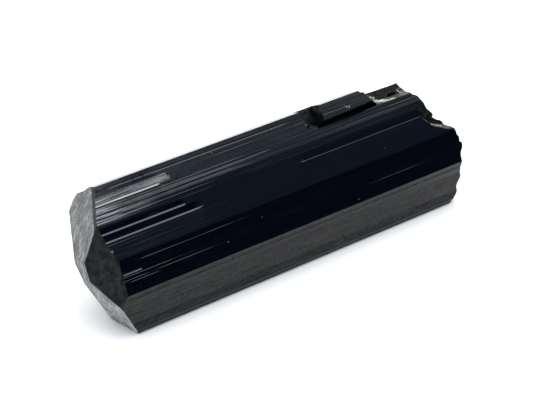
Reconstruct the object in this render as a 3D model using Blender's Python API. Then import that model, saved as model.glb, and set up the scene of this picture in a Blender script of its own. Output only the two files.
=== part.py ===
"""A black tourmaline crystal (schorl): one striated prism with a complete three-faced tip and a broken root.

The crystal lies on one of its prism faces. +X runs along it from the tip to the broken end, +Z is up, and
the wide dark prism face looks towards -Y. The origin is the middle of the bounding box's base.

Sizes are in millimetres until the mesh is made, and MM turns them into metres.
"""
import math
import random

import bmesh
import bpy
from mathutils import Vector

MM = 0.001

# --- driving dimensions, mm and degrees ----------------------------------------------------------------------
BLANK_LENGTH = 56.0          # prism before the tip and the broken end are cut
TIP_ROOM = 2.0               # spare prism in front of the tip's highest point
APEX_Z = 7.55                # height of the tip above the resting face

# Corners of the prism's section as (y, z), from the top edge down the front, under and up the back.
# y is counted from the tip, and z from the resting face.
OUTLINE = [
    (2.10, 14.65), (0.52, 13.19), (0.57, 13.07), (-0.50, 12.14), (-1.10, 11.40), (-1.32, 10.90), (-1.59, 10.76),
    (-1.85, 10.16), (-2.12, 10.02), (-3.40, 8.45), (-4.85, 4.80), (-4.65, 3.40), (-4.95, 1.40), (-5.20, 0.60),
    (-4.90, 0.00), (2.60, 0.00), (4.90, 1.60), (6.60, 4.15), (7.30, 6.80), (7.40, 9.20), (7.00, 11.00),
    (6.20, 12.25), (4.60, 13.15), (3.60, 14.00),
]
REST_SIDE = 14               # the side that starts at this corner is the resting face and stays flat

STRIA_PITCH = 0.62           # mean spacing of the growth lines that run along the prism
STRIA_DEPTH = 0.085          # deepest growth line
STRIA_SEED = 11

# The tip's faces: (name, tilt from square to the axis, direction it faces, offset along the axis).
# Directions are counted from -Y upwards. 27.4 degrees is tourmaline's own rhombohedron angle; the two
# companion forms have half and twice its slope.
RHOMB_TILT = 27.4
FRONT_AZIMUTH = 24.0
HALF_SLOPE_TILT = math.degrees(math.atan(0.5 * math.tan(math.radians(RHOMB_TILT))))
TWICE_SLOPE_TILT = math.degrees(math.atan(2.0 * math.tan(math.radians(RHOMB_TILT))))
TIP_FACES = [
    ("front", RHOMB_TILT, FRONT_AZIMUTH, 0.0),
    ("back", RHOMB_TILT, FRONT_AZIMUTH + 114.0, 0.0),
    ("under", RHOMB_TILT, FRONT_AZIMUTH - 111.5, -1.0),
    ("blunt", HALF_SLOPE_TILT, FRONT_AZIMUTH + 180.0, 0.0),
    ("steep", TWICE_SLOPE_TILT, FRONT_AZIMUTH + 180.0, -2.3),
    ("steep_low", TWICE_SLOPE_TILT, FRONT_AZIMUTH + 201.0, -2.2),
]
SHOULDER = (58.0, 21.0, -3.70)   # narrow bevel between the front tip face and the front of the prism

# Where the broken end stops: (y, z, x) of points on it, between which its surface is blended.
BROKEN_END = [
    (0.30, 12.9, 48.9), (-0.10, 12.6, 50.0), (-0.90, 11.9, 49.9), (-1.36, 11.3, 49.6), (-1.50, 10.6, 50.0),
    (-1.95, 9.9, 50.7), (-2.20, 9.5, 52.0), (-3.00, 8.4, 52.7), (-3.75, 7.4, 53.1), (-4.10, 6.9, 53.0),
    (-4.70, 5.0, 52.4), (-4.65, 3.4, 52.3), (-4.95, 1.4, 51.5), (-4.90, 0.3, 50.6),
    (-0.40, 10.9, 49.6), (0.40, 9.8, 50.0), (-0.90, 9.9, 50.3),
    (0.0, 0.4, 48.8), (3.0, 1.4, 47.6), (6.4, 5.0, 46.6), (6.9, 9.2, 46.0), (5.0, 12.4, 46.4),
    (2.3, 13.6, 47.8), (0.0, 7.0, 50.2), (3.2, 6.4, 48.6), (1.6, 10.4, 48.0),
]
END_CELL = 0.62              # grid of the broken surface
FACET_COUNT = 26             # small broken facets, each with a tilt and a level of its own
FACET_TILT = 0.22
FACET_STEP = 0.22
END_SEED = 5

UPPER_FACE_AZIMUTH = 47.3    # direction of the upper front face, which carries the notch and the loose block
UPPER_FACE_OUT = 3.795       # its distance from the line through the tip


def tip_plane(tilt, azimuth, offset):
    """Outward normal of a tip face and a point on it, mm, with the axis at y 0, z APEX_Z."""
    t = math.radians(tilt)
    a = math.radians(azimuth)
    normal = Vector((-math.cos(t), -math.sin(t) * math.cos(a), math.sin(t) * math.sin(a)))
    return normal, Vector((offset, 0.0, APEX_Z))


def upper_face_point(x, across, depth=0.0):
    """A point by its place on the upper front face: along the prism, up across the face, and inwards."""
    a = math.radians(UPPER_FACE_AZIMUTH)
    out = UPPER_FACE_OUT - depth
    return Vector((x, -math.cos(a) * out + math.sin(a) * across,
                   APEX_Z + math.sin(a) * out + math.cos(a) * across))


def striated_outline():
    """The section with shallow growth lines cut into every side but the resting one."""
    rng = random.Random(STRIA_SEED)
    points = []
    for i, corner in enumerate(OUTLINE):
        start = Vector(corner)
        end = Vector(OUTLINE[(i + 1) % len(OUTLINE)])
        points.append(start)
        if i == REST_SIDE:
            continue
        along = end - start
        inward = Vector((-along.y, along.x)).normalized()
        count = int(along.length / STRIA_PITCH)
        for k in range(1, count):
            at = (k + rng.uniform(-0.28, 0.28)) / count
            depth = STRIA_DEPTH * rng.uniform(0.25, 1.0)
            width = STRIA_PITCH * rng.uniform(0.10, 0.22)
            middle = start + along * at
            lip = along.normalized() * width
            points += [middle - lip, middle + inward * depth, middle + lip * rng.uniform(0.3, 1.0)]
    return points


def solid_from(bm, name):
    bmesh.ops.scale(bm, vec=(MM, MM, MM), verts=bm.verts)
    bmesh.ops.recalc_face_normals(bm, faces=bm.faces)
    mesh = bpy.data.meshes.new(name)
    bm.to_mesh(mesh)
    bm.free()
    obj = bpy.data.objects.new(name, mesh)
    bpy.context.scene.collection.objects.link(obj)
    return obj


def cut_by_plane(bm, normal, point):
    geometry = bm.verts[:] + bm.edges[:] + bm.faces[:]
    bmesh.ops.bisect_plane(bm, geom=geometry, plane_co=point, plane_no=normal, clear_outer=True)
    open_edges = [e for e in bm.edges if e.is_boundary]
    bmesh.ops.holes_fill(bm, edges=open_edges, sides=0)


def prism():
    bm = bmesh.new()
    ring = [bm.verts.new((-TIP_ROOM, p.x, p.y)) for p in striated_outline()]
    base = bm.faces.new(ring)
    grown = bmesh.ops.extrude_face_region(bm, geom=[base])
    moved = [v for v in grown["geom"] if isinstance(v, bmesh.types.BMVert)]
    bmesh.ops.translate(bm, verts=moved, vec=(BLANK_LENGTH + TIP_ROOM, 0, 0))
    for _, tilt, azimuth, offset in TIP_FACES:
        cut_by_plane(bm, *tip_plane(tilt, azimuth, offset))
    cut_by_plane(bm, *tip_plane(*SHOULDER))
    return solid_from(bm, "tourmaline_crystal")


def hull(name, points):
    """A cutter: the convex solid around a few points."""
    bm = bmesh.new()
    for p in points:
        bm.verts.new(p)
    bmesh.ops.convex_hull(bm, input=bm.verts)
    return as_cutter(solid_from(bm, name))


def as_cutter(obj):
    obj.hide_render = True
    obj.display_type = "WIRE"
    return obj


def broken_level(y, z, facets):
    """How far the crystal reaches at one place of its section before it is broken off."""
    total = 0.0
    weight = 0.0
    for py, pz, px in BROKEN_END:
        w = 1.0 / (0.15 + (y - py) ** 2 + (z - pz) ** 2) ** 1.5
        total += w * px
        weight += w
    near = min(facets, key=lambda f: (y - f[0]) ** 2 + (z - f[1]) ** 2)
    return total / weight + near[2] + near[3] * (y - near[0]) + near[4] * (z - near[1])


def broken_end_cutter():
    """Everything past the broken surface: a grid of levels, closed by a flat back."""
    rng = random.Random(END_SEED)
    facets = [(rng.uniform(-6.5, 8.5), rng.uniform(-1.0, 15.5), rng.uniform(-FACET_STEP, FACET_STEP),
               rng.uniform(-FACET_TILT, FACET_TILT), rng.uniform(-FACET_TILT, FACET_TILT))
              for _ in range(FACET_COUNT)]
    low_y, low_z, side = -7.0, -1.2, 17.0
    cells = round(side / END_CELL)
    bm = bmesh.new()
    grid = []
    for i in range(cells + 1):
        row = []
        for j in range(cells + 1):
            y = low_y + side * (i + rng.uniform(-0.28, 0.28)) / cells
            z = low_z + side * (j + rng.uniform(-0.28, 0.28)) / cells
            row.append(bm.verts.new((broken_level(y, z, facets), y, z)))
        grid.append(row)
    for i in range(cells):
        for j in range(cells):
            bm.faces.new((grid[i][j], grid[i + 1][j], grid[i + 1][j + 1], grid[i][j + 1]))
    rim = [e for e in bm.edges if e.is_boundary]
    wall = bmesh.ops.extrude_edge_only(bm, edges=rim)
    for v in wall["geom"]:
        if isinstance(v, bmesh.types.BMVert):
            v.co.x = BLANK_LENGTH + 2.0
    bmesh.ops.holes_fill(bm, edges=[e for e in bm.edges if e.is_boundary], sides=0)
    bmesh.ops.triangulate(bm, faces=bm.faces)
    return as_cutter(solid_from(bm, "cut_broken_end"))


def notch_cutter():
    """The pit in the upper front face, open to the front and to the top."""
    mouth = [(32.3, 8.2), (32.4, 5.4), (32.4, 4.75), (33.2, 4.1), (35.15, 4.0), (36.4, 8.2)]
    floor = [(32.8, 8.2), (32.8, 5.6), (33.2, 4.9), (34.9, 4.5), (36.0, 8.2)]
    return hull("cut_notch", [upper_face_point(x, w, -0.6) for x, w in mouth]
                + [upper_face_point(x, w, 1.7) for x, w in floor])


def groove_cutter():
    """The crack under the loose block, from the notch to the block's far end."""
    points = []
    for x, low, high in ((33.9, 3.75, 4.4), (39.0, 3.72, 4.25), (43.2, 3.95, 4.7)):
        points += [upper_face_point(x, low, -0.3), upper_face_point(x, high, -0.3),
                   upper_face_point(x, low + 0.15, 1.5), upper_face_point(x, high - 0.15, 1.5)]
    return hull("cut_groove", points)


def upper_layer_cutter():
    """The layer that broke away past the block, down to a level shelf."""
    near = [(41.65, 7.4, -0.6), (42.6, 5.3, -0.6), (43.25, 3.25, -0.6), (42.2, 7.0, 0.75), (43.5, 4.7, 0.75)]
    far = [(56.0, 7.4, -0.6), (56.0, 3.25, -0.6), (56.0, 7.4, 0.75), (56.0, 4.6, 0.75)]
    return hull("cut_upper_layer", [upper_face_point(*p) for p in near + far])


def crown_cutter():
    """The top and back past the block, which broke away down to a slope that faces back."""
    near = [(41.7, 0.5, 15.6), (43.0, 1.6, 14.35), (42.6, 8.8, 9.2), (41.9, 9.0, 11.6)]
    far = [(57.0, 0.5, 15.6), (57.0, 1.9, 14.0), (57.0, 8.8, 8.2), (57.0, 9.0, 11.6)]
    return hull("cut_crown", [Vector(p) for p in near + far])


def ledge_cutter():
    """A splinter off the upper front of the broken end, leaving a slanting ledge."""
    points = []
    for x, y, z, wall in ((48.5, -1.50, 10.55, 0.35), (49.5, -2.17, 9.58, 0.35), (50.8, -2.55, 9.06, 0.18),
                          (54.5, -3.40, 8.00, 0.10)):
        points += [(x, y - 1.2, z - 0.3), (x, y + wall, z + 0.1),
                   (x, y - 1.2, z + 2.0), (x, y + wall + 0.55, z + 2.0)]
    return hull("cut_ledge", [Vector(p) for p in points])


def black_tourmaline():
    mat = bpy.data.materials.new("black_tourmaline")
    mat.use_nodes = True
    shader = mat.node_tree.nodes["Principled BSDF"]
    shader.inputs["Base Color"].default_value = (0.010, 0.012, 0.015, 1.0)
    shader.inputs["Roughness"].default_value = 0.2
    shader.inputs["Metallic"].default_value = 0.0
    shader.inputs["IOR"].default_value = 1.64
    return mat


def rest_on_origin(obj):
    """Put the middle of the bounding box's base at the origin, measured on the finished solid."""
    bpy.context.view_layer.update()
    finished = obj.evaluated_get(bpy.context.evaluated_depsgraph_get())
    places = [v.co for v in finished.data.vertices]
    low = Vector([min(p[k] for p in places) for k in range(3)])
    high = Vector([max(p[k] for p in places) for k in range(3)])
    return Vector((-(low.x + high.x) / 2, -(low.y + high.y) / 2, -low.z))


def main():
    for obj in list(bpy.data.objects):
        bpy.data.objects.remove(obj)
    crystal = prism()
    crystal.data.materials.append(black_tourmaline())
    cutters = [broken_end_cutter(), upper_layer_cutter(), crown_cutter(), notch_cutter(), groove_cutter(),
               ledge_cutter()]
    for cutter in cutters:
        cut = crystal.modifiers.new(cutter.name, "BOOLEAN")
        cut.operation = "DIFFERENCE"
        cut.solver = "EXACT"
        cut.object = cutter
    shift = rest_on_origin(crystal)
    for obj in [crystal] + cutters:
        obj.location = shift


main()
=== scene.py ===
"""Looks of a black tourmaline crystal (schorl) lying on one of its prism faces.

The crystal is rebuilt here as one fine mesh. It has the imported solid's section, tip faces and cuts, and also
the growth lines, etched tip and fractures that the solid leaves out. Its own coordinates are millimetres:
x from the tip along the prism, y back from the tip, z up from the face that it rests on.
"""

import itertools
import math
import random

import bmesh
import bpy
from mathutils import Matrix, Vector, geometry, noise


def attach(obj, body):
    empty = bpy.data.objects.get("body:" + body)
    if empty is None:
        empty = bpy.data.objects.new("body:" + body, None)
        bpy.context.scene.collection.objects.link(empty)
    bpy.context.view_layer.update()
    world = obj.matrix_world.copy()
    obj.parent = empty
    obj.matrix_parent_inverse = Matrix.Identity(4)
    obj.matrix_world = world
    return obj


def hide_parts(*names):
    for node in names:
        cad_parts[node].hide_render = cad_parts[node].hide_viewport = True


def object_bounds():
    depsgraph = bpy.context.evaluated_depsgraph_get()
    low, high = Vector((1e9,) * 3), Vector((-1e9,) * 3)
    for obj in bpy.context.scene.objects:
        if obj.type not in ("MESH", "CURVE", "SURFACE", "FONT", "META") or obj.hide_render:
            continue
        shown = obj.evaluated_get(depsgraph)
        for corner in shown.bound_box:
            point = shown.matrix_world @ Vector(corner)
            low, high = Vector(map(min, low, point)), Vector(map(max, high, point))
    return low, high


MM = 0.001

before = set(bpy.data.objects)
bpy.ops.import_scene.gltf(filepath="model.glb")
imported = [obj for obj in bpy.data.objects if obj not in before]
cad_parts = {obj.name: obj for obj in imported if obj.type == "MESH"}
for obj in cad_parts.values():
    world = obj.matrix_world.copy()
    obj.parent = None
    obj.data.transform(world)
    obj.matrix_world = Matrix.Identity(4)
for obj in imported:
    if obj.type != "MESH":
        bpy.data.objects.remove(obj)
CAD_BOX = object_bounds()

# --- the section and the tip, mm and degrees ----------------------------------------------------------
APEX_Z = 7.55                # height of the tip above the resting face
BACK_Y = 7.40                # furthest back that the section reaches

# Sides of the section as (finish, y and z of the corner that the side starts at), from the top edge down the
# front, under and up the back
SIDES = [
    ("upper_top", 2.10, 14.65), ("crack", 0.52, 13.19), ("upper_low", 0.57, 13.07), ("shade", -0.50, 12.14),
    ("ledge_wall", -1.10, 11.40), ("ledge", -1.32, 10.90), ("ledge_wall", -1.59, 10.76),
    ("ledge", -1.85, 10.16), ("slope", -2.12, 10.02), ("front", -3.40, 8.45), ("lower", -4.85, 4.80),
    ("lower", -4.65, 3.40), ("lower", -4.95, 1.40), ("lower", -5.20, 0.60), ("rest", -4.90, 0.00),
    ("back", 2.60, 0.00), ("back", 4.90, 1.60), ("back", 6.60, 4.15), ("back", 7.30, 6.80),
    ("back", 7.40, 9.20), ("back", 7.00, 11.00), ("back", 6.20, 12.25), ("back", 4.60, 13.15),
    ("crest", 3.60, 14.00),
]
# The first sides, and the corners that they start at, by their place in that list
UPPER_TOP, CRACK, UPPER_LOW, SHADE, WALL_1, LEDGE_1, WALL_2, LEDGE_2, SLOPE, FRONT, FIRST_LOWER = range(11)

# Growth strips of each finish: (narrowest and widest strip, how far one stands out or in, mean tilt of the
# strips, spread of the tilt)
FINISHES = {
    "upper_top": (0.16, 0.55, 0.008, 0.0, 0.012),
    "crack": (9.0, 9.0, 0.0, 0.0, 0.0),
    "upper_low": (0.14, 0.40, 0.008, -0.14, 0.018),
    "shade": (0.14, 0.36, 0.006, -0.06, 0.040),
    "ledge_wall": (0.12, 0.25, 0.005, 0.0, 0.015),
    "ledge": (9.0, 9.0, 0.0, 0.0, 0.0),
    "slope": (0.14, 0.42, 0.005, -0.04, 0.030),
    "front": (0.14, 0.60, 0.004, 0.0, 0.030),
    "lower": (0.18, 0.55, 0.010, 0.0, 0.030),
    "rest": (0.25, 0.90, 0.012, 0.0, 0.0),
    "back": (0.15, 0.60, 0.016, 0.0, 0.040),
    "crest": (0.20, 0.50, 0.008, 0.0, 0.015),
}
RISER = 0.055                # width of the step between two strips
COLUMN = 0.26                # widest column of the mesh
THINNEST_COLUMN = 0.012
STRIA_SEED = 23
TIP_STEPS = 1.2              # how much higher the steps are near the tip, as a share
TIP_STEPS_FADE = (3.0, 14.0)
CALM = 0.85                  # how much of the strips' tilt is lost towards the broken end, as a share
CALM_FADE = (13.0, 24.0)
SWAY = 0.012                 # slow waves of the faces along the prism

# Corners that the section changes to, and the stretches of x over which they come in or run out
LIP = ((0.66, 13.22), (0.47, 13.12))                 # the crack's two corners near the tip, where it is a lip
LIP_ENDS = (10.6, 11.4)
LEDGE_WIDTH_LOST = 0.35      # the share by which both ledges are narrower than in the solid's section
LEDGE_1_ENDS = (12.2, 12.9)
LEDGE_2_ENDS = (13.4, 15.0)
LEDGE_1_RETURNS = (29.4, 30.2)
THIN_LEDGE = ((-1.575, 10.68), (-1.665, 10.675))     # the first ledge's two corners where it returns
LATE_EDGE = (-0.50, 12.06)   # the upper front face's lower edge towards the broken end
LATE = (20.0, 24.0)

# Steps and grooves that start or stop part of the way along:
# (side, points of the profile as (distance down the side, height), first x, last x, length of the fade)
RELIEFS = [
    (UPPER_TOP, [(1.10, 0.0), (1.16, -0.075), (1.96, 0.0)], -9.0, 12.3, 0.06),
    (UPPER_TOP, [(0.55, 0.0), (0.60, -0.020), (0.70, 0.0)], 3.0, 30.0, 2.0),
    (UPPER_LOW, [(0.50, 0.0), (0.56, -0.020), (0.62, 0.0)], -9.0, 26.0, 2.0),
    (FRONT, [(1.55, 0.0), (1.70, -0.035), (1.74, 0.0)], -9.0, 3.5, 0.2),
    (FIRST_LOWER, [(0.52, 0.0), (0.62, -0.050), (0.72, 0.0)], -9.0, 60.0, 1.0),
    (FIRST_LOWER, [(1.20, 0.0), (1.30, -0.030), (1.39, 0.0)], 6.0, 44.0, 2.0),
]

RHOMB_TILT = 27.4            # tourmaline's own rhombohedron; its companions have half and twice the slope
HALF_SLOPE_TILT = math.degrees(math.atan(0.5 * math.tan(math.radians(RHOMB_TILT))))
TWICE_SLOPE_TILT = math.degrees(math.atan(2.0 * math.tan(math.radians(RHOMB_TILT))))
FRONT_AZIMUTH = 24.0
# (name, tilt from square to the axis, direction it faces counted from -Y upwards, offset along the axis)
TIP_FACES = [
    ("front", RHOMB_TILT, FRONT_AZIMUTH, 0.0),
    ("back", RHOMB_TILT, FRONT_AZIMUTH + 114.0, 0.0),
    ("under", RHOMB_TILT, FRONT_AZIMUTH - 111.5, -1.0),
    ("blunt", HALF_SLOPE_TILT, FRONT_AZIMUTH + 180.0, 0.0),
    ("steep", TWICE_SLOPE_TILT, FRONT_AZIMUTH + 180.0, -2.3),
    ("steep_low", TWICE_SLOPE_TILT, FRONT_AZIMUTH + 201.0, -2.2),
    ("shoulder", 58.0, 21.0, -3.70),
]
DARK_FACES = ("front", "shoulder")

# Where the broken end stops: (y, z, x) of points on it, between which its surface is blended
BROKEN_END = [
    (0.30, 12.9, 48.9), (-0.10, 12.6, 50.0), (-0.90, 11.9, 49.9), (-1.36, 11.3, 49.6), (-1.50, 10.6, 50.0),
    (-1.95, 9.9, 50.7), (-2.20, 9.5, 52.0), (-3.00, 8.4, 52.7), (-3.75, 7.4, 53.1), (-4.10, 6.9, 53.0),
    (-4.70, 5.0, 52.4), (-4.65, 3.4, 52.3), (-4.95, 1.4, 51.5), (-4.90, 0.3, 50.6),
    (-0.40, 10.9, 49.6), (0.40, 9.8, 50.0), (-0.90, 9.9, 50.3),
    (0.0, 0.4, 48.8), (3.0, 1.4, 47.6), (6.4, 5.0, 46.6), (6.9, 9.2, 46.0), (5.0, 12.4, 46.4),
    (2.3, 13.6, 47.8), (0.0, 7.0, 50.2), (3.2, 6.4, 48.6), (1.6, 10.4, 48.0),
]
FACETS = [(28, 0.15, 0.17), (110, 0.05, 0.18)]   # large and small facets of it: how many, level, tilt
FACETS_Y, FACETS_Z = (-6.5, 8.5), (-1.0, 15.5)
LOW_FACETS = 0.3             # how rough the end is low down, as a share
LOW_FACETS_FADE = (4.0, 7.0)
END_SEED = 54

UPPER_FACE_AZIMUTH = 47.3    # direction of the upper front face, which carries the pit and the block
UPPER_FACE_OUT = 3.795       # its distance from the line through the tip
EDGE_SHADOW_LINE = 0.85             # painted shadow: the tip is painted dark within this distance of that face, as the shade of the crack there

# The mesh
CAP_CELL = 0.17              # spacing of the points inside the tip and the broken end
CAP_JITTER = 0.22            # how far those points are off their grid, as a share of the spacing
CREASE_STEP = 0.02           # spacing of the points that find an edge between two tip faces
CREASE_REACH = 24.0          # how far along the edge they look, either way
ROW_STEP = 0.55              # spacing of the mesh's rows along the prism
CLOSEST_ROWS = 0.02
TIP_ROWS_END = 7.5           # rows follow the tip up to here, and the broken end from END_ROWS on
END_ROWS = 44.0
FULL_LENGTH = 53.0
CUT_PASSES = 6               # how many times the long edges of a cutter's faces are halved
ALONG = 0.93                 # an edge runs along the prism when its direction has at least this much of x
SOFT_ALONG = 1.5             # largest angle that is shaded smooth across such an edge
SOFT_ELSEWHERE = 24.0        # and across any other
SOFT_MIXED = 8.0             # and where two materials meet

# --- the camera ---------------------------------------------------------------------------------------
PHOTO_W, PHOTO_H = 533, 400
FOCAL_PX = 2300.0
CAM_ELEVATION = 26.0
CAM_YAW = 41.8
CAM_DISTANCE = 0.243         # from the eye to the crystal's tip, metres
TIP_PX = (84.4, 263.3)       # where the tip shows in the frame
SENSOR = 36.0
NEAREST = 0.01               # nearest distance that it shows, metres

# The crystal's materials, by their slot; the hollow slot is painted shade and the glint slot is painted
# highlight
PRISM, LOWER, FROST, DARK_TIP, FRACTURE, SHADED_HOLLOW, PAINTED_GLINT = range(7)


def place(p):
    """A point of the crystal's own coordinates, in the frame, metres."""
    low, high = CAD_BOX
    return Vector((low.x + p[0] * MM, high.y + (p[1] - BACK_Y) * MM, low.z + p[2] * MM))


def smooth(a, b, x):
    """From 0 at a to 1 at b, with soft ends."""
    t = min(1.0, max(0.0, (x - a) / (b - a)))
    return t * t * (3.0 - 2.0 * t)


def wave(x, y=0.0, z=0.0):
    """Smooth noise from about -1 to 1."""
    return noise.noise(Vector((x, y, z)))


# --- the prism's section at any place along it --------------------------------------------------------
def moved(corner, other, share):
    """A corner moved by a share of its way to another place."""
    return (corner[0] + (other[0] - corner[0]) * share, corner[1] + (other[1] - corner[1]) * share)


def on_chord(corner):
    """The nearest point to a ledge's corner on the straight line that the ledges are cut into."""
    start, end = Vector(SIDES[WALL_1][1:]), Vector(SIDES[FRONT][1:])
    along = (end - start).normalized()
    return tuple(start + along * along.dot(Vector(corner) - start))


def corners(x):
    """The section's corners at x: the ledges come and go, and near the tip the crack is a bright lip."""
    ring = [(y, z) for _, y, z in SIDES]
    ring[WALL_2] = moved(ring[WALL_2], ring[LEDGE_1], LEDGE_WIDTH_LOST)
    ring[SLOPE] = moved(ring[SLOPE], ring[LEDGE_2], LEDGE_WIDTH_LOST)
    lip = 1.0 - smooth(*LIP_ENDS, x)
    ring[CRACK] = moved(ring[CRACK], LIP[0], lip)
    ring[UPPER_LOW] = moved(ring[UPPER_LOW], LIP[1], lip)
    late = smooth(*LATE, x)
    ring[LEDGE_1] = moved(ring[LEDGE_1], THIN_LEDGE[0], late)
    ring[WALL_2] = moved(ring[WALL_2], THIN_LEDGE[1], late)
    ring[SHADE] = moved(ring[SHADE], LATE_EDGE, late)
    first_gap = smooth(*LEDGE_1_ENDS, x) * (1.0 - smooth(*LEDGE_1_RETURNS, x))
    for k in (LEDGE_1, WALL_2):
        ring[k] = moved(ring[k], on_chord(ring[k]), first_gap)
    second_gap = smooth(*LEDGE_2_ENDS, x)
    for k in (LEDGE_2, SLOPE):
        ring[k] = moved(ring[k], on_chord(ring[k]), second_gap)
    return ring


def strip_plan(rng):
    """For each side, its strips as (start, end, level, tilt, seed of its noise)."""
    plan = []
    ring = corners(0.0)
    for i, (finish, _, _) in enumerate(SIDES):
        narrow, wide, level, mean_tilt, tilt = FINISHES[finish]
        highest = 0.0 if finish == "rest" else 1.0
        length = (Vector(ring[(i + 1) % len(ring)]) - Vector(ring[i])).length
        strips = []
        at = 0.0
        while at < length:
            width = narrow + (wide - narrow) * rng.random() ** 1.6
            end = at + width
            if length - end < narrow:
                end = length
            strips.append((at, end, level * rng.uniform(-1.0, highest), mean_tilt + tilt * rng.uniform(-1, 1),
                           rng.uniform(0, 500)))
            at = end
        plan.append((length, strips))
    return plan


def strip_levels(strips, x):
    """Heights at both ends of each strip at x. Strips stand out and sink back along the prism."""
    steps = 1.0 + TIP_STEPS - TIP_STEPS * smooth(*TIP_STEPS_FADE, x)
    tilts = 1.0 - CALM * smooth(*CALM_FADE, x)
    levels = []
    for start, end, level, tilt, seed in strips:
        middle = level * smooth(-0.35, 0.25, wave(x / 9.0, seed)) * steps
        lean = tilt * (end - start) / 2 * (0.7 + 0.9 * wave(x / 13.0, seed, 3.0)) * tilts
        levels.append([middle - lean, middle + lean])
    levels[0][0] = 0.0
    levels[-1][1] = 0.0
    return levels


def profile_height(points, s):
    """Height of a relief's profile at a distance s down its side."""
    if s <= points[0][0] or s >= points[-1][0]:
        return 0.0
    for (s0, h0), (s1, h1) in zip(points, points[1:]):
        if s <= s1:
            return h0 + (h1 - h0) * (s - s0) / (s1 - s0)
    return 0.0


def side_stops(side, length, strips):
    """Places across one side where the mesh has a column: strip ends, relief points, and enough between."""
    stops = {0.0}
    for start, _, _, _, _ in strips[1:]:
        stops |= {start - RISER / 2, start + RISER / 2}
    for on_side, points, _, _, _ in RELIEFS:
        if on_side == side:
            stops |= {s for s, _ in points if 0.0 < s < length}
    ordered = sorted(stops) + [length]
    columns = []
    for a, b in zip(ordered, ordered[1:]):
        if b - a < THINNEST_COLUMN:
            continue
        parts = max(1, math.ceil((b - a) / COLUMN))
        columns += [a + (b - a) * j / parts for j in range(parts)]
    return columns


def strip_height(strips, levels, s):
    """Height of the growth strips at a distance s down their side, with a slope from each to the next."""
    for k, (start, end, _, _, _) in enumerate(strips):
        lead = RISER / 2 if k else 0.0
        tail = RISER / 2 if k < len(strips) - 1 else 0.0
        if s < start + lead:
            before = levels[k - 1][1]
            return before + (levels[k][0] - before) * (s - start + RISER / 2) / RISER
        if s <= end - tail + 1e-9:
            return levels[k][0] + (levels[k][1] - levels[k][0]) * (s - start) / (end - start)
    return levels[-1][1]


def relief_height(side, s, x):
    """What the steps and grooves add to a side's height at one place."""
    total = 0.0
    for on_side, points, first, last, fade in RELIEFS:
        if on_side == side:
            total += (profile_height(points, s) * smooth(first - fade / 2, first + fade / 2, x)
                      * (1.0 - smooth(last - fade / 2, last + fade / 2, x)))
    return total


def section_row(x, plan, columns):
    """Points of the section at x, as (y, z), one for each column."""
    ring = corners(x)
    row = []
    rim = 0.25               # the faces sway less within this distance of the side's edges
    for i, (length, strips) in enumerate(plan):
        start, end = Vector(ring[i]), Vector(ring[(i + 1) % len(ring)])
        along = end - start
        out = Vector((along.y, -along.x)).normalized()
        levels = strip_levels(strips, x)
        finish = SIDES[i][0]
        sway = 0.0 if finish in ("rest", "ledge", "crack") else SWAY
        for s in columns[i]:
            edge = smooth(0.0, rim, s) * smooth(0.0, rim, length - s)
            height = strip_height(strips, levels, s) + relief_height(i, s, x)
            height += sway * edge * wave(x / 7.0, i * 5.0 + s / 2.5)
            row.append(tuple(start + along * (s / length) + out * height))
    return row


# --- the tip and the broken end as heights over the section -------------------------------------------
def tip_levels(y, z):
    """How far along x each tip face cuts at one place of the section."""
    levels = []
    for _, tilt, azimuth, offset in TIP_FACES:
        a = math.radians(azimuth)
        slope = math.tan(math.radians(tilt))
        levels.append(offset + slope * (-math.cos(a) * y + math.sin(a) * (z - APEX_Z)))
    return levels


def tip_x(y, z):
    return max(tip_levels(y, z))


def upper_face_ways():
    """Out of the upper front face and up it, as (y, z)."""
    a = math.radians(UPPER_FACE_AZIMUTH)
    return (-math.cos(a), math.sin(a)), (math.sin(a), math.cos(a))


def end_facets():
    """Facets of the broken end, in families: (y and z of the middle, level, slopes along y and along z)."""
    rng = random.Random(END_SEED)
    return [[(rng.uniform(*FACETS_Y), rng.uniform(*FACETS_Z), rng.uniform(-level, level),
              rng.uniform(-tilt, tilt), rng.uniform(-tilt, tilt)) for _ in range(count)]
            for count, level, tilt in FACETS]


def end_x(y, z, facets):
    """How far along x the crystal reaches at one place of the section before it is broken off."""
    total = 0.0
    weight = 0.0
    for py, pz, px in BROKEN_END:
        w = 1.0 / (0.15 + (y - py) ** 2 + (z - pz) ** 2) ** 1.5
        total += w * px
        weight += w
    x = total / weight
    wobble_y, wobble_z = y + 0.25 * wave(y * 1.3, z * 1.3, 1.0), z + 0.25 * wave(y * 1.3, z * 1.3, 9.0)
    rough = LOW_FACETS + (1.0 - LOW_FACETS) * smooth(*LOW_FACETS_FADE, z)
    for family in facets:
        near = min(family, key=lambda f: (wobble_y - f[0]) ** 2 + (wobble_z - f[1]) ** 2)
        x += rough * (near[2] + near[3] * (y - near[0]) + near[4] * (z - near[1]))
    return x + 0.03 * wave(y * 3.1, z * 3.1, 4.0) + 0.012 * wave(y * 9.0, z * 9.0, 8.0)


def row_places():
    """Nominal x of the mesh's rows, with a close pair where a relief starts or stops sharply."""
    places = [k * ROW_STEP for k in range(int(FULL_LENGTH / ROW_STEP) + 1)] + [FULL_LENGTH]
    sharp = [LIP_ENDS, LEDGE_1_ENDS, LEDGE_2_ENDS, LEDGE_1_RETURNS]
    sharp += [(p - fade / 2, p + fade / 2) for _, _, first, last, fade in RELIEFS for p in (first, last)]
    for a, b in sharp:
        places += [p for p in (a, (a + b) / 2, b) if 0.0 < p < FULL_LENGTH]
    places.sort()
    kept = [places[0]]
    for p in places[1:]:
        if p - kept[-1] > CLOSEST_ROWS:
            kept.append(p)
    return kept


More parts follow.
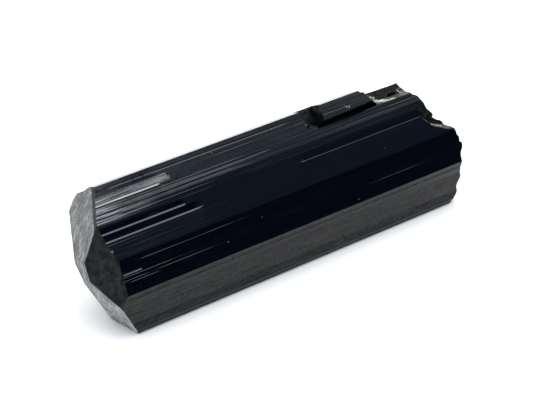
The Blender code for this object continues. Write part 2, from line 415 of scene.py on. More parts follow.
def row_x(nominal, tip, end):
    """Where a row really is, on a line along the prism that starts at tip and stops at end."""
    if nominal < TIP_ROWS_END:
        return tip + (TIP_ROWS_END - tip) * nominal / TIP_ROWS_END
    if nominal > END_ROWS:
        return END_ROWS + (end - END_ROWS) * (nominal - END_ROWS) / (FULL_LENGTH - END_ROWS)
    return nominal


# --- caps ---------------------------------------------------------------------------------------------
def inside(ring, y, z):
    """Whether a place is inside the ring."""
    hit = False
    for (y0, z0), (y1, z1) in zip(ring, ring[1:] + ring[:1]):
        if (z0 > z) != (z1 > z) and y < (y1 - y0) * (z - z0) / (z1 - z0) + y0:
            hit = not hit
    return hit


def crease_lines(ring):
    """Edges between tip faces, as chains of (y, z) points inside the ring."""
    fewest = 9
    chains = []
    reach = round(CREASE_REACH / CREASE_STEP)
    flat = [tip_levels(0, 0), tip_levels(1, 0), tip_levels(0, 1)]
    for i, j in itertools.combinations(range(len(TIP_FACES)), 2):
        gap = [levels[i] - levels[j] for levels in flat]
        gy, gz = gap[1] - gap[0], gap[2] - gap[0]
        size = math.hypot(gy, gz)
        foot = Vector((-gap[0] * gy, -gap[0] * gz)) / size ** 2
        along = Vector((-gz, gy)) / size
        run = []
        for k in range(-reach, reach + 1):
            p = foot + along * (k * CREASE_STEP)
            levels = tip_levels(p.x, p.y)
            if levels[i] >= max(levels) - 1e-6 and inside(ring, p.x, p.y):
                run.append(p)
        if len(run) >= fewest:
            chains.append(run)
    return chains


def snap_ends(chain, ring, spots):
    """A chain thinned to the cap's spacing, with its ends on the ring's or another chain's nearest point."""
    near = 0.15
    count = max(2, round((chain[-1] - chain[0]).length / CAP_CELL))
    points = [chain[0] + (chain[-1] - chain[0]) * k / count for k in range(count + 1)]
    for end in (0, -1):
        best = min(ring, key=lambda r: (Vector(r) - points[end]).length)
        if (Vector(best) - points[end]).length < near:
            points[end] = Vector(best)
            continue
        known = [s for s in spots if (s - points[end]).length < near]
        if known:
            points[end] = known[0]
        else:
            spots.append(points[end])
    return points


def cap_mesh(ring, chains, rng):
    """Triangles over the section: (points, faces, the ring's own points by their number)."""
    points = [Vector(p) for p in ring]
    edges = [(k, (k + 1) % len(ring)) for k in range(len(ring))]
    spots = []
    fixed = []
    for chain in chains:
        chain = snap_ends(chain, ring, spots)
        index = []
        for p in chain:
            same = [k for k, q in enumerate(points) if (q - p).length < 1e-5]
            if not same:
                points.append(p)
                same = [len(points) - 1]
            index.append(same[0])
        edges += list(zip(index, index[1:]))
        fixed += chain
    crowd = fixed + [Vector(p) for p in ring]
    clear = 0.6 * CAP_CELL
    y0, z0 = min(p[0] for p in ring), min(p[1] for p in ring)
    y1, z1 = max(p[0] for p in ring), max(p[1] for p in ring)
    for i in range(int((y1 - y0) / CAP_CELL) + 1):
        for j in range(int((z1 - z0) / CAP_CELL) + 1):
            y = y0 + (i + 0.5 * (j % 2) + rng.uniform(-CAP_JITTER, CAP_JITTER)) * CAP_CELL
            z = z0 + (j + rng.uniform(-CAP_JITTER, CAP_JITTER)) * CAP_CELL
            if inside(ring, y, z) and all(abs(c.x - y) + abs(c.y - z) > clear for c in crowd):
                points.append(Vector((y, z)))
    made, _, faces, origins, _, _ = geometry.delaunay_2d_cdt(points, edges, [], 1, 1e-7)
    first = {}
    for k, group in enumerate(origins):
        for o in group:
            first[o] = k
    return made, faces, [first[k] for k in range(len(ring))]


def etch(y, z):
    """Relief of the frosted tip faces: low hillocks and shallow pits."""
    relief = 0.012 * wave(y * 1.7, z * 1.7, 2.0) + 0.008 * wave(y * 4.3, z * 4.3, 6.0)
    return relief - 0.015 * smooth(0.30, 0.55, wave(y * 2.3, z * 2.3, 12.0))


# --- the body -----------------------------------------------------------------------------------------
def crystal_body():
    """The whole crystal before anything is broken off it but its end."""
    rng = random.Random(STRIA_SEED)
    plan = strip_plan(rng)
    columns = [side_stops(i, length, strips) for i, (length, strips) in enumerate(plan)]
    facets = end_facets()
    places = row_places()
    rows = [section_row(x, plan, columns) for x in places]
    tips = [tip_x(y, z) for y, z in rows[0]]
    ends = [end_x(y, z, facets) for y, z in rows[-1]]
    bm = bmesh.new()
    grid = [[bm.verts.new((row_x(x, tip, end), y, z)) for (y, z), tip, end in zip(row, tips, ends)]
            for x, row in zip(places, rows)]
    around = len(grid[0])
    finish = [LOWER if SIDES[i][0] == "lower" else PRISM for i, stops in enumerate(columns) for _ in stops]
    for low, high in zip(grid, grid[1:]):
        for k in range(around):
            n = (k + 1) % around
            bm.faces.new((low[k], high[k], high[n], low[n])).material_index = finish[k]
    add_cap(bm, grid[0], rows[0], crease_lines(rows[0]), rng, tip_cap_x, tip_material)
    add_cap(bm, grid[-1], rows[-1], [], rng, lambda y, z: end_x(y, z, facets), lambda y, z: FRACTURE)
    bmesh.ops.triangulate(bm, faces=[f for f in bm.faces if len(f.verts) > 3])
    bmesh.ops.recalc_face_normals(bm, faces=bm.faces)
    return as_object(bm, "black_tourmaline")


def tip_cap_x(y, z):
    """The tip's surface with its etching, which stops short of its edges and is weaker on the dark faces."""
    levels = sorted(tip_levels(y, z))
    clear = smooth(0.0, 0.10, levels[-1] - levels[-2])
    frosted = 0.25 if tip_material(y, z) == DARK_TIP else 1.0
    return levels[-1] - etch(y, z) * clear * frosted


def tip_material(y, z):
    """Dark on the dark faces, painted dark beside the upper front face as the shade of the crack there, and
    frosted elsewhere.
    """
    out, _ = upper_face_ways()
    if out[0] * y + out[1] * (z - APEX_Z) > UPPER_FACE_OUT - EDGE_SHADOW_LINE:
        return DARK_TIP
    levels = tip_levels(y, z)
    name = TIP_FACES[levels.index(max(levels))][0]
    return DARK_TIP if name in DARK_FACES else FROST


def add_cap(bm, ring_verts, ring, chains, rng, level, material):
    """Closes one end of the prism. level and material say how far along x it is and what it is made of."""
    points, faces, ring_index = cap_mesh(ring, chains, rng)
    verts = dict(zip(ring_index, ring_verts))
    for k, p in enumerate(points):
        if k not in verts:
            verts[k] = bm.verts.new((level(p.x, p.y), p.x, p.y))
    for face in faces:
        middle = sum((points[k] for k in face), Vector((0, 0))) / len(face)
        made = bm.faces.new([verts[k] for k in face])
        made.material_index = material(middle.x, middle.y)


def as_object(bm, name):
    """The mesh in the frame's metres."""
    for v in bm.verts:
        v.co = place(v.co)
    mesh = bpy.data.meshes.new(name)
    bm.to_mesh(mesh)
    bm.free()
    obj = bpy.data.objects.new(name, mesh)
    bpy.context.scene.collection.objects.link(obj)
    return obj


# --- what is broken or etched out of it ---------------------------------------------------------------
def upper_face_point(x, across, depth):
    """A point under the upper front face: along the prism, up that face, and into it."""
    out, up = upper_face_ways()
    level = UPPER_FACE_OUT - depth
    return (x, out[0] * level + up[0] * across, APEX_Z + out[1] * level + up[1] * across)


def under_face(points):
    return [upper_face_point(*p) for p in points]


# What broke off, as points of hulls. Across is the distance up the upper front face, counted from where that
# face is nearest to the line along the prism that starts at the tip.
# The pit: (x, across) of its rim, just above the face, and of its bottom
NOTCH_RIM = ((32.3, 8.2), (32.4, 5.4), (32.4, 4.75), (33.2, 4.1), (35.15, 4.0), (36.4, 8.2))
NOTCH_BOTTOM = ((32.8, 8.2), (32.8, 5.6), (33.2, 4.9), (34.9, 4.5), (36.0, 8.2))
NOTCH = under_face([(x, w, -0.6) for x, w in NOTCH_RIM] + [(x, w, 1.7) for x, w in NOTCH_BOTTOM])
# The crack under the block: (x, lowest and highest across)
GROOVE_STATIONS = [(33.9, 3.75, 4.40), (39.0, 3.72, 4.25), (43.2, 3.95, 4.70)]
GROOVE = under_face([(x, w, depth) for x, low, high in GROOVE_STATIONS
                     for w, depth in ((low, -0.3), (high, -0.3), (low + 0.15, 1.5), (high - 0.15, 1.5))])
# The layer past the block, and the top edge above it
LAYER = under_face([(41.65, 7.4, -0.6), (42.6, 5.3, -0.6), (43.25, 3.25, -0.6), (42.2, 7.0, 0.75),
                    (43.5, 4.7, 0.75), (56.0, 7.4, -0.6), (56.0, 3.25, -0.6), (56.0, 7.4, 0.75),
                    (56.0, 4.6, 0.75)])
CROWN = [(41.7, 0.5, 15.6), (43.0, 1.6, 14.35), (42.6, 8.8, 9.2), (41.9, 9.0, 11.6),
         (57.0, 0.5, 15.6), (57.0, 1.9, 14.0), (57.0, 8.8, 8.2), (57.0, 9.0, 11.6)]
# The splinter, which leaves a slanting ledge: (x, y and z of the ledge's outer edge, how deep the ledge is)
SPLINTER_STATIONS = [(48.5, -1.50, 10.55, 0.35), (49.5, -2.17, 9.58, 0.35), (50.8, -2.55, 9.06, 0.18),
                     (54.5, -3.40, 8.00, 0.10)]
SPLINTER = [(x, y + dy, z + dz) for x, y, z, depth in SPLINTER_STATIONS
            for dy, dz in ((-1.2, -0.3), (depth, 0.1), (-1.2, 2.0), (depth + 0.55, 2.0))]

# (points, spacing of the mesh on the break, how rough the break is, its material); the darker hollow material
# is painted shade in the pit, the groove, under the layer and in the splinter's wedge
BROKEN_OFF = [
    (NOTCH, 0.18, 0.05, SHADED_HOLLOW),
    (GROOVE, 0.20, 0.03, SHADED_HOLLOW),
    (LAYER, 0.20, 0.04, SHADED_HOLLOW),
    (CROWN, 0.25, 0.05, FRACTURE),
    (SPLINTER, 0.16, 0.06, SHADED_HOLLOW),
]
BREAK_WAVES = [(1.1, 1.0), (2.7, 0.5), (7.0, 0.22)]   # the roughness of a break: (waves per mm, share)

# Small chips and pits: (middle, half the size along the prism, up the face and out of it, turn in degrees)
NICKS = [
    (upper_face_point(8.1, 5.5, 0.02), (0.10, 0.36, 0.09), 25),
    (upper_face_point(9.4, 5.8, 0.02), (0.10, 0.32, 0.09), 25),
    (upper_face_point(8.7, 5.65, 0.0), (0.70, 0.05, 0.04), -8),
    (upper_face_point(33.5, 3.5, 0.0), (0.34, 0.20, 0.12), 20),
    (upper_face_point(32.6, 4.4, 0.0), (0.24, 0.40, 0.20), 35),
    (upper_face_point(28.9, 6.2, 0.0), (0.30, 0.10, 0.10), 10),
    (upper_face_point(39.0, 5.1, 0.0), (0.07, 0.36, 0.08), 30),
    (upper_face_point(39.4, 5.0, 0.0), (0.07, 0.32, 0.07), -15),
    ((46.5, 1.40, 13.05), (0.85, 0.22, 0.40), 4),
    ((27.8, 1.60, 14.20), (0.16, 0.05, 0.05), 0),
    (upper_face_point(18.9, 5.60, 0.0), (0.05, 0.30, 0.04), 25),
    (upper_face_point(19.5, 5.00, 0.0), (0.05, 0.34, 0.04), -20),
    (upper_face_point(15.9, 4.00, 0.02), (0.04, 0.22, 0.05), 15),
    ((16.3, -4.30, 6.17), (0.07, 0.05, 0.05), 0),
    ((21.6, -3.88, 7.27), (0.07, 0.05, 0.05), 0),
    ((35.6, -4.70, 5.21), (0.07, 0.05, 0.05), 0),
    ((41.5, -2.85, 9.17), (0.07, 0.05, 0.05), 0),
]
# Chips on the rim of the tip: (y, z, half the size)
RIM_CHIPS = [
    (-2.68, 9.35, 0.20), (-3.05, 8.90, 0.12), (-3.42, 8.40, 0.14), (-3.72, 7.60, 0.10), (-4.02, 6.90, 0.16),
    (-4.40, 5.90, 0.10), (-4.82, 4.85, 0.13), (-0.85, 11.80, 0.10), (1.10, 13.75, 0.11), (-1.70, 10.50, 0.10),
    (-4.80, 2.40, 0.12), (-5.05, 1.00, 0.14), (-2.00, 0.00, 0.12), (1.40, 0.00, 0.14), (3.80, 0.85, 0.12),
    (5.90, 3.10, 0.16), (7.25, 6.60, 0.13), (7.10, 10.60, 0.16), (5.40, 12.70, 0.12), (3.10, 14.25, 0.13),
]
RIM_CHIP_FLATNESS = 0.7
# Painted highlights, pale glints on the broken surfaces: points of a line, and how far the glint reaches from
# it
PAINTED_GLINTS = [
    ([(43.85, 1.30, 12.97), (44.80, 0.75, 13.00), (45.80, 0.45, 12.93)], 0.40),
    ([(42.60, 1.70, 14.10), (43.30, 1.85, 13.75), (43.75, 1.60, 13.30)], 0.24),
    ([(48.45, -1.50, 10.50), (49.10, -1.95, 9.90), (49.60, -2.20, 9.58), (50.90, -2.57, 9.02)], 0.09),
    ([(47.60, 1.60, 13.30), (48.00, 1.30, 12.95)], 0.12),
    ([(32.35, 0.95, 13.55), (32.90, 0.35, 13.05)], 0.13),
    ([(33.60, 0.15, 12.85), (33.85, 0.10, 12.75)], 0.14),
    ([(1.60, -2.66, 9.38), (1.75, -2.70, 9.30)], 0.16),
    ([(16.2, -4.30, 6.17), (16.4, -4.30, 6.17)], 0.15),
    ([(21.5, -3.88, 7.27), (21.7, -3.88, 7.27)], 0.15),
    ([(35.5, -4.70, 5.21), (35.7, -4.70, 5.21)], 0.15),
    ([(41.4, -2.85, 9.17), (41.6, -2.85, 9.17)], 0.15),
    ([(27.7, 1.60, 14.20), (27.9, 1.60, 14.20)], 0.15),
    ([(38.9, 1.20, 13.90), (39.5, 0.95, 13.65)], 0.22),
    ([(18.9, 1.75, 14.20), (19.5, 1.00, 13.60)], 0.30),
    ([(15.9, 0.55, 13.15), (15.9, 0.35, 12.90)], 0.20),
]


def rough_hull(points, spacing, rough, finish):
    """A convex hull with its faces cut up finely and roughened, as a fracture."""
    bm = bmesh.new()
    for p in points:
        bm.verts.new(p)
    bmesh.ops.convex_hull(bm, input=bm.verts)
    bmesh.ops.delete(bm, geom=[v for v in bm.verts if not v.link_faces], context="VERTS")
    cut_up(bm, spacing)
    for v in bm.verts:
        p = v.co.copy()
        push = sum((noise.noise_vector(p * fine) * share for fine, share in BREAK_WAVES), Vector((0, 0, 0)))
        v.co += push * rough
    return finish_cutter(bm, finish)


def cut_up(bm, spacing):
    """Halves the edges that are longer than the spacing, again and again."""
    bmesh.ops.triangulate(bm, faces=bm.faces)
    for _ in range(CUT_PASSES):
        long = [e for e in bm.edges if e.calc_length() > spacing]
        bmesh.ops.subdivide_edges(bm, edges=long, cuts=1)
        bmesh.ops.triangulate(bm, faces=[f for f in bm.faces if len(f.verts) > 3], quad_method="SHORT_EDGE",
                              ngon_method="EAR_CLIP")


def finish_cutter(bm, finish):
    bmesh.ops.recalc_face_normals(bm, faces=bm.faces)
    for f in bm.faces:
        f.material_index = finish
    return as_object(bm, "cutter")


def nick(number, point, size, turn):
    """A small lumpy pit, laid out on the upper front face."""
    bm = bmesh.new()
    bmesh.ops.create_icosphere(bm, subdivisions=3, radius=1.0)
    out, up = [Vector((0, *way)) for way in upper_face_ways()]
    along = Vector((1, 0, 0))
    swing = Matrix.Rotation(math.radians(turn), 3, "Z")
    for v in bm.verts:
        p = v.co * (1.0 + 0.35 * wave(v.co.x * 1.3 + number * 7.0, v.co.y * 1.3, v.co.z * 1.3))
        p = swing @ Vector((p.x * size[0], p.y * size[1], p.z * size[2]))
        v.co = Vector(point) + along * p.x + up * p.y + out * p.z
    # the pit takes the darker hollow material, which is painted shade
    return finish_cutter(bm, SHADED_HOLLOW)


def take_away(body, cutter):
    """Cuts one thing out of the body, which takes over the cutter's material on the cut."""
    for material in body.data.materials:
        cutter.data.materials.append(material)
    boolean = body.modifiers.new("cut", "BOOLEAN")
    boolean.operation = "DIFFERENCE"
    boolean.solver = "MANIFOLD"
    boolean.object = cutter
    depsgraph = bpy.context.evaluated_depsgraph_get()
    made = bpy.data.meshes.new_from_object(body.evaluated_get(depsgraph))
    body.modifiers.clear()
    body.data = made
    bpy.data.objects.remove(cutter)


def carve(body):
    """Takes away all that broke off, and the chips and pits."""
    for row in BROKEN_OFF:
        take_away(body, rough_hull(*row))
    rim = [((tip_x(y, z), y, z), (size, size, RIM_CHIP_FLATNESS * size), 0) for y, z, size in RIM_CHIPS]
    for number, (point, size, turn) in enumerate(NICKS + rim):
        take_away(body, nick(number, point, size, turn))


def line_distance(p, line):
    """How far a point is from a line of straight stretches."""
    best = math.inf
    for a, b in zip(line, line[1:]):
        share = min(1.0, max(0.0, (p - a).dot(b - a) / (b - a).length_squared))
        best = min(best, (p - a - (b - a) * share).length)
    return best


def paint_glints(body):
    """Paints pale glints, a painted highlight, on the broken faces near each line, with an uneven border."""
    glint_lines = [([place(p) for p in line], reach * MM) for line, reach in PAINTED_GLINTS]
    for face in body.data.polygons:
        if face.material_index not in (FRACTURE, SHADED_HOLLOW):
            continue
        p = face.center / MM
        uneven = 1.0 + 0.6 * wave(*(p * 1.9)) + 0.5 * wave(*(p * 5.3))
        if any(line_distance(face.center, line) < reach * uneven for line, reach in glint_lines):
            face.material_index = PAINTED_GLINT


def soften(body):
    """Smooth shading, but for the steps along the prism and every true edge."""
    bm = bmesh.new()
    bm.from_mesh(body.data)
    bmesh.ops.dissolve_degenerate(bm, dist=1e-7, edges=bm.edges)
    bmesh.ops.triangulate(bm, faces=[f for f in bm.faces if len(f.verts) > 3])
    for f in bm.faces:
        f.smooth = True
    for e in bm.edges:
        if len(e.link_faces) != 2:
            continue
        angle = math.degrees(e.calc_face_angle(0.0))
        way = (e.verts[1].co - e.verts[0].co).normalized()
        limit = SOFT_ALONG if abs(way.x) > ALONG else SOFT_ELSEWHERE
        mixed = e.link_faces[0].material_index != e.link_faces[1].material_index
        e.smooth = angle < limit and not (mixed and angle > SOFT_MIXED)
    bm.to_mesh(body.data)
    bm.free()


# --- materials ----------------------------------------------------------------------------------------
class Nodes:
    """Short calls for building one node tree."""

    def __init__(self, tree):
        self.tree = tree

    def add(self, kind, settings=None, **inputs):
        node = self.tree.nodes.new(kind)
        for key, value in (settings or {}).items():
            setattr(node, key, value)
        for key, value in inputs.items():
            self.feed(node, key, value)
        return node

    def feed(self, node, key, value):
        socket = node.inputs[int(key[1:])] if key[0] == "i" and key[1:].isdigit() else node.inputs[key]
        if isinstance(value, bpy.types.NodeSocket):
            self.tree.links.new(value, socket)
        else:
            socket.default_value = value

    def math(self, operation, a, b):
        return self.add("ShaderNodeMath", {"operation": operation}, i0=a, i1=b).outputs[0]

    def dot(self, a, b):
        return self.add("ShaderNodeVectorMath", {"operation": "DOT_PRODUCT"}, i0=a, i1=b).outputs["Value"]

    def weigh(self, a, share_a, b, share_b):
        """Two values added up, each times its share."""
        return self.math("ADD", self.math("MULTIPLY", a, share_a), self.math("MULTIPLY", b, share_b))

    def span(self, value, low, high, to_low=0.0, to_high=1.0):
        """From to_low to to_high while the value goes from low to high, with soft ends."""
        node = self.add("ShaderNodeMapRange", {"interpolation_type": "SMOOTHSTEP"}, i0=value, i1=low, i2=high,
                        i3=to_low, i4=to_high)
        return node.outputs[0]

    def noise(self, where, scale, detail=3.0, rough=0.55, stretch=(1, 1, 1), shift=(0, 0, 0)):
        """Noise over the object, with the scale per millimetre."""
        grown = tuple(scale * s / MM for s in stretch)
        mapping = self.add("ShaderNodeMapping", None, Vector=where, Location=shift, Scale=grown)
        return self.add("ShaderNodeTexNoise", None, Vector=mapping.outputs[0], Scale=1.0, Detail=detail,
                        Roughness=rough).outputs[0]

    def blend(self, share, a, b):
        node = self.add("ShaderNodeMix", {"data_type": "RGBA"}, i0=share)
        self.feed(node, "i6", a)
        self.feed(node, "i7", b)
        return node.outputs[2]


STONE_IOR = 1.64


def stone(name, specular=0.5):
    """A new material for the crystal: (material, its nodes, its shader, the place on the crystal)."""
    material = bpy.data.materials.new(name)
    material.use_nodes = True
    nodes = Nodes(material.node_tree)
    shader = material.node_tree.nodes["Principled BSDF"]
    shader.inputs["IOR"].default_value = STONE_IOR
    shader.inputs["Specular IOR Level"].default_value = specular
    where = nodes.add("ShaderNodeTexCoord").outputs["Object"]
    return material, nodes, shader, where


def dress(nodes, shader, colour, roughness, height, strength, depth):
    """Gives the shader its colour, its roughness and a fine relief, with its depth in millimetres."""
    nodes.feed(shader, "Base Color", colour)
    nodes.feed(shader, "Roughness", roughness)
    bump = nodes.add("ShaderNodeBump", None, Strength=strength, Distance=depth * MM, Height=height)
    nodes.feed(shader, "Normal", bump.outputs[0])


def along_from_tip(nodes, where):
    """Millimetres from the crystal's tip, along it."""
    x = nodes.add("ShaderNodeSeparateXYZ", None, Vector=where).outputs[0]
    return nodes.math("MULTIPLY", nodes.math("SUBTRACT", x, CAD_BOX[0].x), 1.0 / MM)


def band(nodes, value, low, high, soft):
    """One inside a range and nothing outside it, with soft ends."""
    rise = nodes.span(value, low - soft, low + soft)
    fall = nodes.span(value, high - soft, high + soft, 1.0, 0.0)
    return nodes.math("MULTIPLY", rise, fall)


# Bands of the upper front face: frosting near the tip, and in the narrow stripes along the ledges a painted
# highlight. (first and last x, half the length over which they fade in and out, lowest and highest place
# across, how strong, how patchy, how much of the pattern is mottled, not streaked)
FROST_AND_HIGHLIGHT_BANDS = [
    (-6.0, 12.3, 0.06, 4.46, 5.22, 0.34, 0.92, 0.25),
    (-6.0, 12.2, 0.06, 4.74, 4.86, 0.75, 0.75, 0.10),
    (-6.0, 11.0, 0.30, 4.18, 4.36, 0.95, 0.35, 0.10),
    (-6.0, 11.0, 7.00, 4.36, 4.46, 0.45, 0.80, 0.10),
    (-6.0, 10.0, 7.00, 5.22, 6.60, 0.22, 0.95, 0.50),
    (-6.0, 11.0, 7.00, 2.30, 4.00, 0.95, 0.95, 0.10),
    (2.0, 30.0, 12.00, 2.60, 6.60, 0.020, 1.00, 0.85),
]
BAND_EDGE = 0.03             # half the width of the soft edge along a band
BANDS_FROM = (3.0, 3.4)      # how far out from the tip's line the frosting and painted highlights come in: they stay off other faces


def frost_and_highlight_share(nodes, where):
    """How frosted the upper front face is, with painted highlights in the narrow stripes: in bands that run
    along the prism from the tip.
    """
    x = along_from_tip(nodes, where)
    tip = place((0.0, 0.0, APEX_Z))
    from_tip = nodes.add("ShaderNodeVectorMath", {"operation": "SUBTRACT"}, i0=where, i1=tip).outputs[0]
    out, up = [(0.0, y / MM, z / MM) for y, z in upper_face_ways()]
    across = nodes.dot(from_tip, up)
    level = nodes.dot(from_tip, out)
    streak = nodes.noise(where, 6.0, 3.0, 0.6, (0.03, 1, 1), (2, 9, 4))
    blotch = nodes.noise(where, 2.2, 5.0, 0.7, (0.6, 1, 1), (8, 3, 1))
    total = 0.0
    for near, far, fade, low, high, amount, patchy, mottled in FROST_AND_HIGHLIGHT_BANDS:
        share = nodes.math("MULTIPLY", band(nodes, x, near, far - fade, fade),
                           band(nodes, across, low, high, BAND_EDGE))
        pattern = nodes.weigh(streak, 1.0 - mottled, blotch, mottled)
        pattern = nodes.span(pattern, 0.42, 0.60, 1.0 - patchy, 1.0)
        share = nodes.math("MULTIPLY", nodes.math("MULTIPLY", share, pattern), amount)
        total = nodes.math("MAXIMUM", total, share)
    return nodes.math("MULTIPLY", total, nodes.span(level, *BANDS_FROM))


def prism_material():
    """Black and glossy, with a gloss that changes in streaks, and frosted in bands near the tip, whose narrow
    stripes are painted highlights.
    """
    material, nodes, shader, where = stone("tourmaline_prism")
    streaks = nodes.noise(where, 7.0, 4.0, 0.6, (0.03, 1, 1))
    frost_and_highlight = frost_and_highlight_share(nodes, where)
    colour = nodes.blend(frost_and_highlight, (0.0006, 0.0009, 0.0018, 1), (0.42, 0.43, 0.44, 1))
    polish = nodes.span(streaks, 0.3, 0.75, 0.07, 0.15)
    roughness = nodes.math("ADD", polish, nodes.math("MULTIPLY", frost_and_highlight, 0.30))
    dress(nodes, shader, colour, roughness, streaks, 0.5, 0.006)
    return material


def lower_material():
    """The lower front faces: dark grey and duller, with fine grain."""
    material, nodes, shader, where = stone("tourmaline_lower", 0.2)
    streaks = nodes.noise(where, 5.0, 4.0, 0.6, (0.05, 1, 1))
    grain = nodes.noise(where, 3.5, 6.0, 0.75, (0.6, 1, 1))
    share = nodes.span(nodes.weigh(streaks, 0.35, grain, 0.65), 0.42, 0.60)
    colour = nodes.blend(share, (0.003, 0.003, 0.0035, 1), (0.027, 0.027, 0.026, 1))
    dress(nodes, shader, colour, nodes.span(grain, 0.3, 0.7, 0.26, 0.42), grain, 0.5, 0.010)
    return material


def frost_material():
    """The frosted tip faces: cloudy grey with dark scratches, paler low down."""
    material, nodes, shader, where = stone("tourmaline_frosted", 0.2)
    cloud = nodes.noise(where, 0.8, 6.0, 0.8, (1, 1, 0.6))
    scratch = nodes.noise(where, 3.2, 4.0, 0.7, (1, 1, 0.18), (4, 4, 4))
    mix = nodes.weigh(cloud, 0.55, scratch, 0.45)
    pale = nodes.math("MULTIPLY", nodes.span(mix, 0.45, 0.54), nodes.span(scratch, 0.50, 0.58, 1.0, 0.15))
    height = nodes.add("ShaderNodeSeparateXYZ", None, Vector=where).outputs[2]
    low = nodes.span(height, (APEX_Z - 5.0) * MM, (APEX_Z - 1.5) * MM, 1.0, 0.0)
    bright = nodes.blend(low, (0.26, 0.27, 0.265, 1), (0.52, 0.53, 0.51, 1))
    dull = nodes.blend(low, (0.035, 0.037, 0.037, 1), (0.11, 0.11, 0.11, 1))
    colour = nodes.blend(pale, dull, bright)
    dress(nodes, shader, colour, nodes.span(mix, 0.3, 0.7, 0.34, 0.55), mix, 0.8, 0.04)
    return material


def dark_tip_material():
    """The dark tip faces, and the painted shadow line beside the upper front face: nearly black, with very
    little shine.
    """
    material, nodes, shader, where = stone("tourmaline_tip", 0.02)
    cloud = nodes.noise(where, 1.3, 5.0, 0.6)
    share = nodes.span(cloud, 0.35, 0.70)
    colour = nodes.blend(share, (0.011, 0.011, 0.012, 1), (0.032, 0.033, 0.035, 1))
    dress(nodes, shader, colour, nodes.span(cloud, 0.3, 0.7, 0.28, 0.42), cloud, 0.5, 0.02)
    return material


# Broken surfaces: (name, darkest and palest colour, where the pattern turns from one to the other, specular)
BROKEN_LOOKS = [
    ("tourmaline_fracture", (0.0015, 0.002, 0.003, 1), (0.10, 0.105, 0.11, 1), (0.52, 0.66), 0.5),
    # a darker, duller copy of the fracture, which is painted shade in pits, cracks and hollows
    ("tourmaline_shaded_hollow", (0.001, 0.0015, 0.002, 1), (0.03, 0.032, 0.034, 1), (0.54, 0.68), 0.12),
    # pale: painted glints where broken edges would catch the light
    ("tourmaline_painted_glint", (0.03, 0.03, 0.03, 1), (0.62, 0.62, 0.60, 1), (0.42, 0.60), 0.5),
]


def fracture_material(name, dark, pale, turn, specular):
    """A broken surface, mottled between its two colours."""
    material, nodes, shader, where = stone(name, specular)
    cloud = nodes.noise(where, 1.1, 5.0, 0.65, (1, 1, 1), (5, 2, 3))
    grain = nodes.noise(where, 5.0, 4.0, 0.65)
    mix = nodes.weigh(cloud, 0.6, grain, 0.4)
    colour = nodes.blend(nodes.span(mix, *turn), dark, pale)
    dress(nodes, shader, colour, nodes.span(mix, 0.4, 0.6, 0.25, 0.45), mix, 0.7, 0.04)
    return material


# --- the crystal --------------------------------------------------------------------------------------
crystal = crystal_body()
finishes = [prism_material(), lower_material(), frost_material(), dark_tip_material()]
finishes += [fracture_material(*look) for look in BROKEN_LOOKS]
for finish in finishes:
    crystal.data.materials.append(finish)
carve(crystal)
paint_glints(crystal)
soften(crystal)
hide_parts("tourmaline_crystal")
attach(crystal, "root")

# --- camera, floor and light --------------------------------------------------------------------------
def add_camera():
    """The photo's camera, which sees the crystal's tip where the photo shows it."""
    elevation, yaw = math.radians(CAM_ELEVATION), math.radians(CAM_YAW)
    level = math.cos(elevation)
    ahead = Vector((math.sin(yaw) * level, math.cos(yaw) * level, -math.sin(elevation)))
    right = Vector((math.cos(yaw), -math.sin(yaw), 0.0))
    upward = right.cross(ahead)
    sight = ahead * FOCAL_PX + right * (TIP_PX[0] - PHOTO_W / 2) - upward * (TIP_PX[1] - PHOTO_H / 2)
    eye = place((0.0, 0.0, APEX_Z)) - sight.normalized() * CAM_DISTANCE
    lens = bpy.data.cameras.new("camera")
    lens.sensor_width = SENSOR
    lens.lens = SENSOR * FOCAL_PX / PHOTO_W
    lens.clip_start = NEAREST
    camera = bpy.data.objects.new("camera", lens)
    camera.matrix_world = Matrix.Translation(eye) @ Matrix((right, upward, -ahead)).transposed().to_4x4()
    bpy.context.scene.collection.objects.link(camera)
    bpy.context.scene.camera = camera
    bpy.context.scene.view_settings.view_transform = "Standard"


FLOOR_RADIUS = 0.45
FLOOR_ALBEDO = 0.90


def floor_material():
    """Matt white."""
    material = bpy.data.materials.new("white_floor")
    material.use_nodes = True
    shader = material.node_tree.nodes["Principled BSDF"]
    shader.inputs["Base Color"].default_value = (FLOOR_ALBEDO, FLOOR_ALBEDO, FLOOR_ALBEDO, 1)
    shader.inputs["Roughness"].default_value = 0.9
    shader.inputs["Specular IOR Level"].default_value = 0.0
    return material


def floor_sheet():
    """A round floor at the height of the face that the crystal rests on."""
    bm = bmesh.new()
    bmesh.ops.create_circle(bm, cap_ends=True, segments=96, radius=FLOOR_RADIUS)
    sheet = bpy.data.meshes.new("floor")
    bm.to_mesh(sheet)
    bm.free()
    made = bpy.data.objects.new("floor", sheet)
    made.location = (0.0, 0.0, CAD_BOX[0].z)
    made.data.materials.append(floor_material())
    bpy.context.scene.collection.objects.link(made)
    return made


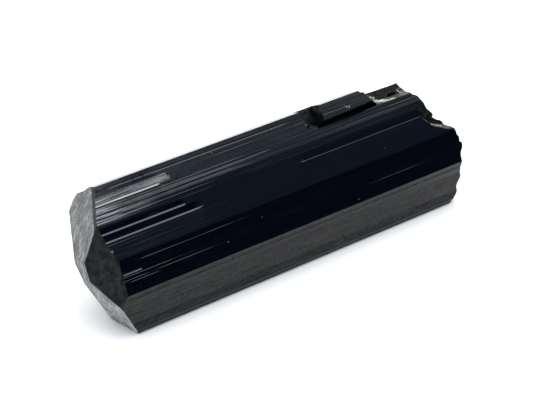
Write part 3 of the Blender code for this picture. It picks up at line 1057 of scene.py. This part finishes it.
# The sky on the camera's side: (sine of the direction's elevation, radiance as red, green and blue)
SKY = [(0.0, (0.004, 0.010, 0.026)), (0.30, (0.010, 0.022, 0.055)), (0.52, (0.055, 0.085, 0.16)),
       (0.62, (0.08, 0.12, 0.18)), (0.68, (0.14, 0.21, 0.29)), (0.74, (0.26, 0.34, 0.43)),
       (0.775, (0.55, 0.64, 0.74)), (0.82, (2.0, 2.1, 2.2)), (1.0, (2.5, 2.5, 2.5))]
SKY_PEAK = 2.5
SKY_BEYOND = 2.4             # radiance beyond the crystal, at every height
BEYOND = (0.1, 0.5)          # where one goes over into the other: share of the direction that points beyond


def light_sky():
    """A sky that is dark low down on the camera's side, and bright overhead and beyond the crystal."""
    world = bpy.data.worlds.new("studio")
    world.use_nodes = True
    bpy.context.scene.world = world
    world.node_tree.nodes.clear()
    nodes = Nodes(world.node_tree)
    way = nodes.add("ShaderNodeTexCoord").outputs["Generated"]
    height = nodes.add("ShaderNodeSeparateXYZ", None, Vector=way).outputs[2]
    ramp = nodes.add("ShaderNodeValToRGB", None, i0=height)
    while len(ramp.color_ramp.elements) < len(SKY):
        ramp.color_ramp.elements.new(0.5)
    for element, (position, radiance) in zip(ramp.color_ramp.elements, SKY):
        element.position = position
        element.color = tuple(c / SKY_PEAK for c in radiance) + (1,)
    yaw = math.radians(CAM_YAW)
    facing = nodes.dot(way, Vector((math.sin(yaw), math.cos(yaw), 0.0)))
    pale = SKY_BEYOND / SKY_PEAK
    lit = nodes.blend(nodes.span(facing, *BEYOND), ramp.outputs[0], (pale, pale, pale, 1))
    background = nodes.add("ShaderNodeBackground", None, Color=lit, Strength=SKY_PEAK)
    nodes.add("ShaderNodeOutputWorld", None, Surface=background.outputs[0])


SUN_DIRECTION = Vector((-0.75, 0.05, 0.66))      # towards the soft light beyond the tip
SUN_STRENGTH = 0.8
SUN_SPREAD = 45.0


def add_sun():
    lamp = bpy.data.lights.new("sun", "SUN")
    lamp.energy = SUN_STRENGTH
    lamp.angle = math.radians(SUN_SPREAD)
    sun = bpy.data.objects.new("sun", lamp)
    sun.rotation_euler = SUN_DIRECTION.to_track_quat("Z", "Y").to_euler()
    sun.visible_glossy = False
    bpy.context.scene.collection.objects.link(sun)


add_camera()
floor = floor_sheet()
light_sky()
add_sun()
